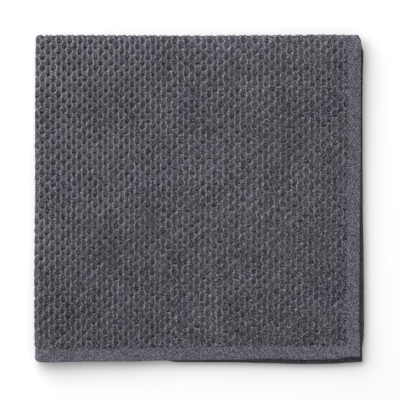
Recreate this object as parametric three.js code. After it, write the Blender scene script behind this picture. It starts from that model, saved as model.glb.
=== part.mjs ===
// A square cotton kitchen towel in a honeycomb weave, folded in half along its top edge
// and in half again along its left edge, lying flat. Millimetres, +Z up, +X to the right and
// +Y away from the reader; the origin is under the middle of the folded towel.
//
// The towel is one hemmed cloth, so it is one closed sheet of even thickness. Every point of
// the cloth is named by two cloth measures: across, from the hem at the right of the upper
// layers, and along, from the hem at the bottom of the front half. Folding sends the pair
// (across, along) to its place in the folded towel.

import * as THREE from 'three';

// The cloth
const CLOTH_SIDE = 500;
const HALF_SIDE = CLOTH_SIDE / 2;
const CLOTH_THICKNESS = 1.6;
const HEM_WIDTH = 9.4;
const HEM_GROOVE_DEPTH = 0.3;
const HEM_GROOVE_HALF_WIDTH = 1.2;
const EDGE_ROUNDING = 0.8;
const EDGE_THINNEST = 0.4;

// The stack: four layers, one pitch apart, measured up from the middle of the lowest
const LAYER_PITCH = 2.0;
const STACK_MIDDLE = 1.5 * LAYER_PITCH;

// The folds: each keeps a soft open loop, wider than a half circle and with a longer arc
const LOOP_REACH = 1.2;
const LOOP_ARC = 1.28;
const QUARTER_TURN = Math.PI / 2;
const TOP_FOLD_RADIUS = LAYER_PITCH / 2;
const TOP_FOLD_ARC = QUARTER_TURN * TOP_FOLD_RADIUS * LOOP_ARC;
const TOP_FOLD_DEPTH = TOP_FOLD_RADIUS * LOOP_REACH;
const OUTER_LAYER_RADIUS = 1.5 * LAYER_PITCH;
const LEFT_FOLD_DEPTH = OUTER_LAYER_RADIUS * LOOP_REACH;

// The folds stand higher than the flat stack. The share of a fold's swelling by the distance
// in from the outside of the fold: it drops soon behind the crest and dies out slowly.
const SWELL_PROFILE = [
  { inside: -12, share: 0 },
  { inside: 12, share: 1 },
  { inside: 38, share: 0.5 },
  { inside: 105, share: 0 },
];

// The free corner of the top layer curls up
const CORNER_LIFT = 1.6;
const CORNER_LIFT_ACROSS = 34;
const CORNER_LIFT_ALONG = 20;

const GREY_COTTON = 0x56555c;
const GREY_COTTON_ROUGHNESS = 0.95;

// Where the right hem lies, by the measure along the cloth: 0 is the bottom of the front
// half, 250 the top fold and 500 the bottom of the back half
const RIGHT_HEM_OF_UPPER_LAYERS = [
  { along: 0, x: 122.9 },
  { along: 12, x: 122.9 },
  { along: 18, x: 122.4 },
  { along: 60, x: 122.4 },
  { along: 160, x: 123.3 },
  { along: 240, x: 123.3 },
  { along: 250, x: 121.2 },
  { along: 258, x: 123.4 },
  { along: 264, x: 125.6 },
  { along: 282, x: 125.0 },
  { along: 305, x: 124.8 },
  { along: 340, x: 124.9 },
  { along: 384, x: 125.1 },
  { along: 420, x: 125.7 },
  { along: 450, x: 125.9 },
  { along: 478, x: 126.0 },
  { along: 490, x: 124.6 },
  { along: 500, x: 124.8 },
];

const RIGHT_HEM_OF_LOWER_LAYERS = [
  { along: 0, x: 121.6 },
  { along: 100, x: 122.4 },
  { along: 200, x: 122.0 },
  { along: 250, x: 120.6 },
  { along: 264, x: 124.0 },
  { along: 320, x: 124.2 },
  { along: 420, x: 125.0 },
  { along: 500, x: 123.9 },
];

// Where the bottom hem lies, by the measure across the cloth: 0 is the right hem of the
// upper layers, 250 the left fold and 500 the right hem of the lower layers
const BOTTOM_HEM_OF_FRONT_HALF = [
  { across: 0, y: -120.7 },
  { across: 8, y: -120.7 },
  { across: 18, y: -122.5 },
  { across: 42, y: -122.9 },
  { across: 70, y: -122.3 },
  { across: 96, y: -122.9 },
  { across: 150, y: -123.5 },
  { across: 176, y: -124.3 },
  { across: 203, y: -124.3 },
  { across: 240, y: -124.8 },
  { across: 250, y: -122.1 },
  { across: 262, y: -123.4 },
  { across: 330, y: -122.5 },
  { across: 420, y: -123.2 },
  { across: 500, y: -122.2 },
];

const BOTTOM_HEM_OF_BACK_HALF = [
  { across: 0, y: -124.6 },
  { across: 10, y: -125.2 },
  { across: 24, y: -126.1 },
  { across: 48, y: -126.3 },
  { across: 78, y: -125.5 },
  { across: 100, y: -125.0 },
  { across: 125, y: -124.9 },
  { across: 143, y: -124.8 },
  { across: 156, y: -122.9 },
  { across: 220, y: -122.6 },
  { across: 250, y: -120.6 },
  { across: 290, y: -122.2 },
  { across: 400, y: -123.8 },
  { across: 500, y: -124.4 },
];

// Where the outside of the top fold lies, by the measure across the cloth
const TOP_FOLD = [
  { across: 0, y: 126.1 },
  { across: 24, y: 125.9 },
  { across: 60, y: 125.5 },
  { across: 140, y: 125.2 },
  { across: 190, y: 125.3 },
  { across: 225, y: 125.5 },
  { across: 240, y: 125.3 },
  { across: 320, y: 124.7 },
  { across: 430, y: 124.2 },
  { across: 500, y: 123.8 },
];

// Where the outside of the left fold lies, by the place up the page
const LEFT_FOLD = [
  { y: -124, x: -126.2 },
  { y: -100, x: -126.1 },
  { y: -55, x: -126.1 },
  { y: -20, x: -125.8 },
  { y: 7, x: -125.5 },
  { y: 45, x: -125.6 },
  { y: 100, x: -125.3 },
  { y: 124, x: -125.0 },
];

// How much higher than the flat stack each fold stands at its crest, as a share
const LEFT_FOLD_SWELL = [
  { y: -124, swell: 0.6 },
  { y: -80, swell: 0.75 },
  { y: -20, swell: 0.7 },
  { y: 60, swell: 0.6 },
  { y: 124, swell: 0.5 },
];

const TOP_FOLD_SWELL = [
  { x: -124, swell: 0.5 },
  { x: -60, swell: 0.55 },
  { x: 10, swell: 0.7 },
  { x: 90, swell: 0.65 },
  { x: 124, swell: 0.58 },
];

// Soft hollows and rises of the stack between the folds
const UNEVEN_PATCHES = [
  { x: 92, y: -16, radius: 34, swell: -0.04 },
  { x: 90, y: -80, radius: 36, swell: -0.05 },
  { x: 20, y: 30, radius: 60, swell: 0.04 },
  { x: -40, y: -70, radius: 55, swell: 0.05 },
  { x: 118, y: 40, radius: 40, swell: 0.05 },
  { x: 40, y: -116, radius: 40, swell: 0.05 },
];

// Stations of the mesh on one half of the cloth: in the hem as distances from its edge, on
// the flat run as shares of it, and round the fold as equal steps
const HEM_STATIONS = [
  0,
  0.4,
  EDGE_ROUNDING,
  HEM_WIDTH - HEM_GROOVE_HALF_WIDTH,
  HEM_WIDTH,
  HEM_WIDTH + HEM_GROOVE_HALF_WIDTH,
];
const RUN_STATIONS = [0.15, 0.3, 0.46, 0.62, 0.76, 0.86, 0.895, 0.925, 0.95, 0.975, 1];
const LEFT_FOLD_STEPS = 4;
const TOP_FOLD_STEPS = 3;

const SMALL_STEP = 0.05;

// A point of the cloth this close to the surface that the towel lies on lies on it
const TOUCHING = 0.01;

function clamp(value, low, high) {
  return Math.min(Math.max(value, low), high);
}

function smoothStep(share) {
  const inside = clamp(share, 0, 1);
  return inside * inside * (3 - 2 * inside);
}

// A table is read with soft corners, so that no hem or fold has a kink
function readTable(rows, place, column, at) {
  const first = rows[0];
  const last = rows[rows.length - 1];
  if (at <= first[place]) {
    return first[column];
  }
  if (at >= last[place]) {
    return last[column];
  }
  const next = rows.findIndex((row) => row[place] > at);
  const before = rows[next - 1];
  const after = rows[next];
  const share = (at - before[place]) / (after[place] - before[place]);
  return before[column] + (after[column] - before[column]) * smoothStep(share);
}

// The share by which the stack is higher than four flat layers at a place on the page
function stackSwell(x, y, leftTip, topTip) {
  const leftProfile = readTable(SWELL_PROFILE, 'inside', 'share', x - leftTip);
  const topProfile = readTable(SWELL_PROFILE, 'inside', 'share', topTip - y);
  const left = readTable(LEFT_FOLD_SWELL, 'y', 'swell', y) * leftProfile;
  const top = readTable(TOP_FOLD_SWELL, 'x', 'swell', x) * topProfile;
  let patches = 0;
  for (const patch of UNEVEN_PATCHES) {
    const distance = Math.hypot(x - patch.x, y - patch.y) / patch.radius;
    patches += patch.swell * (1 - smoothStep(distance));
  }
  return Math.hypot(left, top) + patches;
}

// How far a point of the cloth has gone round a fold: a quarter turn back where the fold
// starts, none at its tip, a quarter turn on where it ends
function turnAround(measure, arc) {
  return clamp((measure - HALF_SIDE) / arc, -1, 1) * QUARTER_TURN;
}

// The share of a flat run, from the end of the fold to the cloth's edge
function shareOfRun(measure, arc) {
  return Math.max(Math.abs(measure - HALF_SIDE) - arc, 0) / (HALF_SIDE - arc);
}

// Round the left fold the doubled cloth's two layers turn at their own distances from the
// fold's middle, the front half outside and the back half inside
function leftFoldRadius(along) {
  return LAYER_PITCH - TOP_FOLD_RADIUS * Math.sin(turnAround(along, TOP_FOLD_ARC));
}

// The place of the middle of the cloth, by its measures across and along. The top fold comes
// first and doubles the cloth; the left fold then bends the doubled cloth round.
function foldedPlace(across, along) {
  const bottomHem = along < HALF_SIDE ? BOTTOM_HEM_OF_FRONT_HALF : BOTTOM_HEM_OF_BACK_HALF;
  const bottomY = readTable(bottomHem, 'across', 'y', across);
  const topTip = readTable(TOP_FOLD, 'across', 'y', across);
  const topMiddle = topTip - TOP_FOLD_DEPTH - CLOTH_THICKNESS / 2;
  const topBulge = TOP_FOLD_DEPTH * Math.cos(turnAround(along, TOP_FOLD_ARC));
  const y = topMiddle + topBulge + (bottomY - topMiddle) * shareOfRun(along, TOP_FOLD_ARC);

  const radius = leftFoldRadius(along);
  const leftArc = QUARTER_TURN * radius * LOOP_ARC;
  const leftTurn = turnAround(across, leftArc);
  const rightHem = across < HALF_SIDE ? RIGHT_HEM_OF_UPPER_LAYERS : RIGHT_HEM_OF_LOWER_LAYERS;
  const rightX = readTable(rightHem, 'along', 'x', along);
  const leftTip = readTable(LEFT_FOLD, 'y', 'x', y);
  const leftMiddle = leftTip + LEFT_FOLD_DEPTH + CLOTH_THICKNESS / 2;
  const leftBulge = radius * LOOP_REACH * Math.cos(leftTurn);
  const x = leftMiddle - leftBulge + (rightX - leftMiddle) * shareOfRun(across, leftArc);

  const level = STACK_MIDDLE - radius * Math.sin(leftTurn);
  const height = level * (1 + stackSwell(x, y, leftTip, topTip));
  const curl = smoothStep(1 - across / CORNER_LIFT_ACROSS) * smoothStep(1 - along / CORNER_LIFT_ALONG);
  return new THREE.Vector3(x, y, CLOTH_THICKNESS / 2 + height + CORNER_LIFT * curl);
}

// The direction that the towel's face side looks, square to the cloth
function faceDirection(across, along) {
  const nearAcross = clamp(across, SMALL_STEP, CLOTH_SIDE - SMALL_STEP);
  const nearAlong = clamp(along, SMALL_STEP, CLOTH_SIDE - SMALL_STEP);
  const acrossBefore = foldedPlace(nearAcross - SMALL_STEP, nearAlong);
  const acrossAfter = foldedPlace(nearAcross + SMALL_STEP, nearAlong);
  const alongBefore = foldedPlace(nearAcross, nearAlong - SMALL_STEP);
  const alongAfter = foldedPlace(nearAcross, nearAlong + SMALL_STEP);
  return alongAfter.sub(alongBefore).cross(acrossAfter.sub(acrossBefore)).normalize();
}

// Half the thickness: thinner along the hem's seam and rounded off at the cloth's edge
function halfThickness(across, along) {
  const fromEdge = Math.min(across, CLOTH_SIDE - across, along, CLOTH_SIDE - along);
  const offGroove = Math.abs(fromEdge - HEM_WIDTH) / HEM_GROOVE_HALF_WIDTH;
  const flatHalf = CLOTH_THICKNESS / 2 - HEM_GROOVE_DEPTH * (1 - smoothStep(offGroove));
  const edgeShare = 1 - clamp(fromEdge / EDGE_ROUNDING, 0, 1);
  return Math.max(flatHalf * Math.sqrt(1 - edgeShare * edgeShare), EDGE_THINNEST);
}

// A point on one side of the cloth; the whole underside of the lowest layer is dead flat
function onSide(middle, offset) {
  const point = middle.clone().add(offset);
  if (point.z < TOUCHING) {
    point.z = 0;
  }
  return point;
}

// Stations from one cloth edge round the fold to the other edge, for a fold of a given arc
function stationsAround(foldArc, foldSteps) {
  const hemEnd = HEM_STATIONS[HEM_STATIONS.length - 1];
  const foldStart = HALF_SIDE - foldArc;
  const run = RUN_STATIONS.map((share) => hemEnd + (foldStart - hemEnd) * share);
  const half = [...HEM_STATIONS, ...run];
  for (let step = 1; step < foldSteps; step += 1) {
    half.push(foldStart + (foldArc * step) / foldSteps);
  }
  const mirrored = half.map((station) => CLOTH_SIDE - station).reverse();
  return [...half, HALF_SIDE, ...mirrored];
}

function towelGeometry() {
  const alongStations = stationsAround(TOP_FOLD_ARC, TOP_FOLD_STEPS);
  const rowCount = alongStations.length;
  const faceSide = [];
  const backSide = [];
  let columnCount = 0;

  for (const along of alongStations) {
    const leftArc = QUARTER_TURN * leftFoldRadius(along) * LOOP_ARC;
    const acrossStations = stationsAround(leftArc, LEFT_FOLD_STEPS);
    columnCount = acrossStations.length;
    for (const across of acrossStations) {
      const middle = foldedPlace(across, along);
      const offset = faceDirection(across, along).multiplyScalar(halfThickness(across, along));
      faceSide.push(onSide(middle, offset));
      backSide.push(onSide(middle, offset.clone().negate()));
    }
  }

  const backStart = faceSide.length;
  const positions = [...faceSide, ...backSide].flatMap((point) => point.toArray());
  const triangles = [];
  const addQuad = (a, b, c, d) => triangles.push(a, b, c, a, c, d);
  const at = (row, column) => row * columnCount + column;

  for (let row = 0; row < rowCount - 1; row += 1) {
    for (let column = 0; column < columnCount - 1; column += 1) {
      const corners = [at(row, column), at(row + 1, column), at(row + 1, column + 1), at(row, column + 1)];
      addQuad(...corners);
      addQuad(...corners.map((corner) => corner + backStart).reverse());
    }
  }

  // The cloth's own edge runs once round its four sides and joins the face to the back
  const edge = [];
  for (let column = 0; column < columnCount - 1; column += 1) {
    edge.push(at(0, column));
  }
  for (let row = 0; row < rowCount - 1; row += 1) {
    edge.push(at(row, columnCount - 1));
  }
  for (let column = columnCount - 1; column > 0; column -= 1) {
    edge.push(at(rowCount - 1, column));
  }
  for (let row = rowCount - 1; row > 0; row -= 1) {
    edge.push(at(row, 0));
  }
  edge.forEach((corner, index) => {
    const next = edge[(index + 1) % edge.length];
    addQuad(corner, next, next + backStart, corner + backStart);
  });

  const geometry = new THREE.BufferGeometry();
  geometry.setAttribute('position', new THREE.Float32BufferAttribute(positions, 3));
  geometry.setIndex(triangles);
  geometry.computeVertexNormals();
  return geometry;
}

function towel() {
  const cotton = new THREE.MeshStandardMaterial({
    color: GREY_COTTON,
    roughness: GREY_COTTON_ROUGHNESS,
    metalness: 0,
  });
  const mesh = new THREE.Mesh(towelGeometry(), cotton);
  mesh.name = 'towel_cloth';
  return mesh;
}

const foldedTowel = new THREE.Group();
foldedTowel.add(towel());

export default foldedTowel;
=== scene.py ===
"""Folded cotton kitchen towel in a honeycomb weave, dressed around its CAD solid.

The towel is one hemmed cloth, folded in half along its top edge and in half again along its
left edge. Every point of the cloth is named by two cloth measures in millimetres: across,
from the hem at the right of the upper layers, and along, from the hem at the bottom of the
front half. The face side is the side that shows; the back side is folded in.
"""

from __future__ import annotations

import logging
import math
from dataclasses import dataclass
from enum import Enum

import bpy
import numpy as np
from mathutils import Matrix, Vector

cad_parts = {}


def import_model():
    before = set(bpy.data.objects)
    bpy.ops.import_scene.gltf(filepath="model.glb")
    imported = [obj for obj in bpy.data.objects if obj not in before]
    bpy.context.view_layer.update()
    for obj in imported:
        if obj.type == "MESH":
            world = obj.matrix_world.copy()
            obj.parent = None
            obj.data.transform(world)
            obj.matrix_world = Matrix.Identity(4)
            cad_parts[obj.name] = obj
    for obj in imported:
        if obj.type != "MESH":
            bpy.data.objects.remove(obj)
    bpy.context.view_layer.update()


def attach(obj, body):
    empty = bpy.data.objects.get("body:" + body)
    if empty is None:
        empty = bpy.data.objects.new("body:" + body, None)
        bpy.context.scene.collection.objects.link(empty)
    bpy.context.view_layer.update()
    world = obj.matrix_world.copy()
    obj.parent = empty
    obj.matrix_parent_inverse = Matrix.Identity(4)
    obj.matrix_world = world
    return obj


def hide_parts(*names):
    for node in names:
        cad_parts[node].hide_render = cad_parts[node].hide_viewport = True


log = logging.getLogger("towel")

MM = 0.001
NODE = "towel_cloth"
BODY = "root"

# The maps and attributes that the meshes carry
CELL_MAP = "honeycomb_cells"
BAKE_MAP = "OFBake"
CELL_PLACE = "cell_place"
OUTWARD = "outward"
HEM_FACES = "hem_faces"
STITCH_RUN = "stitch_run"
FULLNESS = "fullness"

# A colour mix's sockets: its share of the second colour, the two colours, and the mixed colour
MIX_SHARE, MIX_FIRST, MIX_SECOND, MIXED = 0, 6, 7, 2

# A random draw's sockets: its least and its greatest number, and the number drawn
DRAW_LEAST, DRAW_MOST, DRAWN = 2, 3, 1

# A socket of a node, or a node whose first output is meant
Link = bpy.types.NodeSocket | bpy.types.Node

# Rows of a measure and the value that holds there
Table = tuple[tuple[float, float], ...]


class Half(Enum):
    """The two halves of the cloth on either side of its first fold."""

    FRONT = "front"
    BACK = "back"


class Stack(Enum):
    """The two pairs of layers on either side of the second fold."""

    UPPER = "upper"
    LOWER = "lower"


class Grain(Enum):
    """Whether a pattern follows the cloth's own map or fills the space round a yarn."""

    ON_CLOTH = "2D"
    IN_SPACE = "3D"


# Where the hems and folds lie on the page. The first measure of a row runs along the cloth for
# the right hem, across it for the bottom hem and the top fold, and up the page for the left fold
RIGHT_HEM: dict[Stack, Table] = {
    Stack.UPPER: (
        (0, 122.9), (12, 122.9), (18, 122.4), (60, 122.4), (160, 123.3), (245, 123.5), (250, 121.6),
        (255, 123.2), (260, 123.6), (264, 125.6), (282, 125.0), (305, 124.8), (340, 124.9),
        (384, 125.1), (420, 125.7), (450, 125.9), (478, 126.0), (490, 124.6), (500, 124.8),
    ),
    Stack.LOWER: (
        (0, 121.6), (100, 122.4), (200, 122.0), (245, 122.0), (250, 120.8), (255, 121.8),
        (260, 122.4), (265, 124.0), (320, 124.2), (420, 125.0), (500, 123.9),
    ),
}

BOTTOM_HEM: dict[Half, Table] = {
    Half.FRONT: (
        (0, -120.7), (8, -120.7), (18, -122.5), (42, -122.9), (70, -122.3), (96, -122.9),
        (150, -123.5), (176, -124.3), (203, -124.3), (244, -124.8), (250, -123.0), (257, -123.4),
        (330, -122.5), (420, -123.2), (500, -122.2),
    ),
    Half.BACK: (
        (0, -124.6), (10, -125.2), (24, -126.1), (48, -126.3), (78, -125.5), (100, -125.0),
        (125, -124.9), (143, -124.8), (156, -122.9), (220, -122.6), (250, -120.6), (290, -122.2),
        (400, -123.8), (500, -124.4),
    ),
}

TOP_FOLD: Table = (
    (0, 126.1), (24, 125.9), (60, 125.5), (140, 125.2), (190, 125.3), (225, 125.5), (240, 125.3),
    (320, 124.7), (430, 124.2), (500, 123.8),
)

LEFT_FOLD: Table = (
    (-124, -126.2), (-100, -126.1), (-55, -126.1), (-20, -125.8), (7, -125.5), (45, -125.6),
    (100, -125.3), (124, -125.0),
)

# How much higher than flat the stack lies along each fold, and how that fades away from the fold
LEFT_FOLD_SWELL: Table = ((-124, 0.6), (-80, 0.75), (-20, 0.7), (60, 0.6), (124, 0.5))
TOP_FOLD_SWELL: Table = ((-124, 0.5), (-60, 0.55), (10, 0.7), (90, 0.65), (124, 0.58))
SWELL_PROFILE: Table = ((-12, 0), (12, 1), (38, 0.5), (105, 0))


@dataclass(frozen=True)
class Patch:
    """A soft hollow or rise of the stack between its folds."""

    x: float
    y: float
    radius: float
    swell: float


UNEVEN_PATCHES = (
    Patch(92, -16, 34, -0.04),
    Patch(90, -80, 36, -0.05),
    Patch(20, 30, 60, 0.04),
    Patch(-40, -70, 55, 0.05),
    Patch(118, 40, 40, 0.05),
    Patch(40, -116, 40, 0.05),
)


def smooth_step(share: np.ndarray) -> np.ndarray:
    """Eases a share from 0 to 1.

    Args:
        share: Any numbers; those outside 0 to 1 are held at the ends.

    Returns:
        The eased shares.
    """
    inside = np.clip(share, 0.0, 1.0)
    return inside * inside * (3.0 - 2.0 * inside)


def read_table(rows: Table, at: np.ndarray) -> np.ndarray:
    """Reads a table with soft corners, so that no hem or fold has a kink.

    Args:
        rows: The table, in order of its measure.
        at: The measures to read it at.

    Returns:
        The values there.
    """
    places, values = np.array(rows, float).T
    held = np.clip(at, places[0], places[-1])
    after = np.clip(np.searchsorted(places, held, side="right"), 1, len(rows) - 1)
    share = (held - places[after - 1]) / (places[after] - places[after - 1])
    return values[after - 1] + (values[after] - values[after - 1]) * smooth_step(share)


def linear(hex_colour: str) -> tuple[float, float, float, float]:
    """Turns an sRGB hex colour to linear.

    Args:
        hex_colour: Six hex digits.

    Returns:
        Red, green, blue and an alpha of 1.
    """
    parts = [int(hex_colour[i : i + 2], 16) / 255.0 for i in (0, 2, 4)]
    flat = [p / 12.92 if p <= 0.04045 else ((p + 0.055) / 1.055) ** 2.4 for p in parts]
    return (flat[0], flat[1], flat[2], 1.0)


def add_node(
    tree: bpy.types.NodeTree,
    kind: str,
    links: dict | None = None,
    table: Table = (),
    **settings: object,
) -> bpy.types.Node:
    """Adds one node with its settings and links.

    Args:
        tree: The node tree to add to.
        kind: The node's type.
        links: What goes into each input, by its name or number: a socket, a node whose first
            output is meant, or a value.
        table: For a curve node, the points of its curve.
        **settings: The node's own settings.

    Returns:
        The new node.
    """
    node = tree.nodes.new(kind)
    for name, value in settings.items():
        setattr(node, name, value)
    if table:
        points = node.mapping.curves[0].points
        points[0].location = table[0]
        points[1].location = table[-1]
        for row in table[1:-1]:
            points.new(*row)
        node.mapping.update()
    for name, value in (links or {}).items():
        source = value.outputs[0] if isinstance(value, bpy.types.Node) else value
        if isinstance(source, bpy.types.NodeSocket):
            tree.links.new(source, node.inputs[name])
        else:
            node.inputs[name].default_value = value
    return node


def start_tree(
    name: str,
    takes: dict[str, str],
    gives: str,
) -> tuple[bpy.types.NodeTree, bpy.types.bpy_prop_collection]:
    """Starts a Geometry Nodes tree with named inputs.

    Args:
        name: The tree's name.
        takes: The kind of each input by its name.
        gives: The name of the shape that the tree gives back.

    Returns:
        The tree, and the sockets that its inputs arrive at.
    """
    tree = bpy.data.node_groups.new(name, "GeometryNodeTree")
    for socket, kind in takes.items():
        tree.interface.new_socket(name=socket, in_out="INPUT", socket_type=f"NodeSocket{kind}")
    tree.interface.new_socket(name=gives, in_out="OUTPUT", socket_type="NodeSocketGeometry")
    return tree, add_node(tree, "NodeGroupInput").outputs


def end_tree(tree: bpy.types.NodeTree, shape: bpy.types.Node, finishes: dict[Link, Link | bool]) -> None:
    """Ends a Geometry Nodes tree with its shape smooth, whole and in its finishes.

    Args:
        tree: The tree.
        shape: The node that gives the shape.
        finishes: The faces that each finish goes on.
    """
    smooth = add_node(tree, "GeometryNodeSetShadeSmooth", {"Geometry": shape})
    shape = add_node(tree, "GeometryNodeRealizeInstances", {"Geometry": smooth})
    for finish, faces in finishes.items():
        dressed = {"Geometry": shape, "Selection": faces, "Material": finish}
        shape = add_node(tree, "GeometryNodeSetMaterial", dressed)
    add_node(tree, "NodeGroupOutput", {0: shape})


def add_piece(
    name: str,
    points: np.ndarray,
    edges: list[list[int]] | None = None,
    faces: list[list[int]] | None = None,
) -> bpy.types.Object:
    """Adds an object with its mesh to the scene.

    Args:
        name: The piece's name.
        points: Its points in metres, one row each.
        edges: The numbers of the points of each loose edge.
        faces: The numbers of the points of each face.

    Returns:
        The piece's object.
    """
    mesh = bpy.data.meshes.new(name)
    mesh.from_pydata(points.tolist(), edges or [], faces or [])
    piece = bpy.data.objects.new(name, mesh)
    bpy.context.scene.collection.objects.link(piece)
    return piece


def store_vectors(mesh: bpy.types.Mesh, name: str, vectors: np.ndarray) -> None:
    """Stores a direction or a place for each point of a mesh.

    Args:
        mesh: The mesh.
        name: The attribute's name.
        vectors: One row for each point.
    """
    stored = mesh.attributes.new(name, "FLOAT_VECTOR", "POINT")
    stored.data.foreach_set("vector", vectors.astype(np.float32).reshape(-1))


def shape_piece(piece: bpy.types.Object, tree: bpy.types.NodeTree, given: dict[str, object]) -> None:
    """Shapes a piece with a Geometry Nodes tree and leaves it as a plain mesh.

    Args:
        piece: The piece's object.
        tree: The tree.
        given: What goes into each of the tree's inputs, by its name.
    """
    modifier = piece.modifiers.new(tree.name, "NODES")
    modifier.node_group = tree
    for socket in tree.interface.items_tree:
        if socket.name in given:
            modifier[socket.identifier] = given[socket.name]
    bpy.context.view_layer.update()
    graph = bpy.context.evaluated_depsgraph_get()
    shaped = piece.evaluated_get(graph)
    mesh = bpy.data.meshes.new_from_object(shaped, preserve_all_data_layers=True, depsgraph=graph)
    piece.modifiers.clear()
    piece.data = mesh
    mesh.name = piece.name
    log.info("%s: %d faces", piece.name, len(mesh.polygons))


@dataclass(frozen=True)
class FoldPlan:
    """How the flat cloth lies folded, in millimetres."""

    side: float = 500.0
    thickness: float = 1.6
    hem_width: float = 9.4
    hem_groove_depth: float = 0.3
    hem_groove_half_width: float = 1.2
    edge_rounding: float = 0.8
    edge_thinnest: float = 0.22
    layer_pitch: float = 2.0
    loop_reach: float = 1.2
    loop_arc: float = 1.28
    corner_lift: float = 1.6
    corner_lift_across: float = 34.0
    corner_lift_along: float = 20.0
    level_layers: float = 1.5
    small_step: float = 0.05

    @property
    def half(self) -> float:
        """Half the cloth's side, where both folds lie."""
        return self.side / 2

    @property
    def top_radius(self) -> float:
        """How far each layer of the doubled cloth lies from the doubled cloth's middle."""
        return self.layer_pitch / 2

    @property
    def top_arc(self) -> float:
        """The cloth in a quarter turn of the top fold."""
        return math.pi / 2 * self.top_radius * self.loop_arc

    @property
    def front_left_arc(self) -> float:
        """The cloth in a quarter turn of the left fold, in the outer layer."""
        return math.pi / 2 * (self.layer_pitch + self.top_radius) * self.loop_arc

    def turn(self, measure: np.ndarray, arc: np.ndarray | float) -> np.ndarray:
        """How far round a fold each measure is.

        Args:
            measure: Cloth measures.
            arc: The cloth in a quarter turn of the fold.

        Returns:
            Angles from a quarter turn back to a quarter turn on.
        """
        return np.clip((measure - self.half) / arc, -1.0, 1.0) * math.pi / 2

    def run(self, measure: np.ndarray, arc: np.ndarray | float) -> np.ndarray:
        """The share of the flat run from the fold to the cloth's edge.

        Args:
            measure: Cloth measures.
            arc: The cloth in a quarter turn of the fold.

        Returns:
            Shares from 0 at the fold to 1 at the edge.
        """
        return np.maximum(np.abs(measure - self.half) - arc, 0.0) / (self.half - arc)

    def left_radius(self, along: np.ndarray) -> np.ndarray:
        """The distance of each layer from the middle of the left fold.

        Args:
            along: Cloth measures along.

        Returns:
            Radii: the front half turns outside and the back half inside.
        """
        return self.layer_pitch - self.top_radius * np.sin(self.turn(along, self.top_arc))

    def left_arc(self, along: np.ndarray) -> np.ndarray:
        """The cloth in a quarter turn of the left fold.

        Args:
            along: Cloth measures along.

        Returns:
            Lengths of cloth.
        """
        return math.pi / 2 * self.left_radius(along) * self.loop_arc

    def swell(
        self,
        x: np.ndarray,
        y: np.ndarray,
        left_tip: np.ndarray,
        top_tip: np.ndarray,
    ) -> np.ndarray:
        """The share by which the stack is higher than four flat layers.

        Args:
            x: Places across the page.
            y: Places up the page.
            left_tip: Where the outside of the left fold lies there.
            top_tip: Where the outside of the top fold lies there.

        Returns:
            Shares of the stack's own height.
        """
        left = read_table(LEFT_FOLD_SWELL, y) * read_table(SWELL_PROFILE, x - left_tip)
        top = read_table(TOP_FOLD_SWELL, x) * read_table(SWELL_PROFILE, top_tip - y)
        total = np.hypot(left, top)
        for patch in UNEVEN_PATCHES:
            distance = np.hypot(x - patch.x, y - patch.y) / patch.radius
            total = total + patch.swell * (1 - smooth_step(distance))
        return total

    def place(self, across: np.ndarray, along: np.ndarray) -> np.ndarray:
        """Where the middle of the cloth lies once it is folded.

        Args:
            across: Cloth measures across.
            along: Cloth measures along.

        Returns:
            Points in millimetres, one row each.
        """
        bottom_front, bottom_back = (read_table(BOTTOM_HEM[half], across) for half in Half)
        bottom = np.where(along < self.half, bottom_front, bottom_back)
        top_tip = read_table(TOP_FOLD, across)
        top_depth = self.top_radius * self.loop_reach
        top_middle = top_tip - top_depth - self.thickness / 2
        top_bulge = top_depth * np.cos(self.turn(along, self.top_arc))
        y = top_middle + top_bulge + (bottom - top_middle) * self.run(along, self.top_arc)

        radius = self.left_radius(along)
        arc = self.left_arc(along)
        turned = self.turn(across, arc)
        right_upper, right_lower = (read_table(RIGHT_HEM[stack], along) for stack in Stack)
        right = np.where(across < self.half, right_upper, right_lower)
        left_tip = read_table(LEFT_FOLD, y)
        left_depth = (self.layer_pitch + self.top_radius) * self.loop_reach
        left_middle = left_tip + left_depth + self.thickness / 2
        left_bulge = radius * self.loop_reach * np.cos(turned)
        x = left_middle - left_bulge + (right - left_middle) * self.run(across, arc)

        level = self.level_layers * self.layer_pitch - radius * np.sin(turned)
        height = level * (1 + self.swell(x, y, left_tip, top_tip))
        curl_across = smooth_step(1 - across / self.corner_lift_across)
        curl_along = smooth_step(1 - along / self.corner_lift_along)
        z = self.thickness / 2 + height + self.corner_lift * curl_across * curl_along
        return np.stack([x, y, z], axis=-1)

    def outward(self, across: np.ndarray, along: np.ndarray) -> np.ndarray:
        """The direction that the face side looks, square to the cloth.

        Args:
            across: Cloth measures across.
            along: Cloth measures along.

        Returns:
            Unit directions, one row each.
        """
        step = self.small_step
        near_across = np.clip(across, step, self.side - step)
        near_along = np.clip(along, step, self.side - step)
        left, right = (self.place(near_across + way, near_along) for way in (step, -step))
        up, down = (self.place(near_across, near_along + way) for way in (step, -step))
        normal = np.cross(up - down, left - right)
        return normal / np.linalg.norm(normal, axis=-1, keepdims=True)

    def from_edge(self, across: np.ndarray, along: np.ndarray) -> np.ndarray:
        """The distance to the nearest edge of the cloth.

        Args:
            across: Cloth measures across.
            along: Cloth measures along.

        Returns:
            Distances in millimetres.
        """
        return np.minimum.reduce([across, self.side - across, along, self.side - along])

    def half_thickness(self, across: np.ndarray, along: np.ndarray) -> np.ndarray:
        """Half the cloth's thickness: less in the hem's seam and round the cloth's edge.

        Args:
            across: Cloth measures across.
            along: Cloth measures along.

        Returns:
            Half thicknesses in millimetres.
        """
        edge = self.from_edge(across, along)
        off_groove = np.abs(edge - self.hem_width) / self.hem_groove_half_width
        flat = self.thickness / 2 - self.hem_groove_depth * (1 - smooth_step(off_groove))
        edge_share = 1 - np.clip(edge / self.edge_rounding, 0.0, 1.0)
        return np.maximum(flat * np.sqrt(1 - edge_share**2), self.edge_thinnest)


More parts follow.
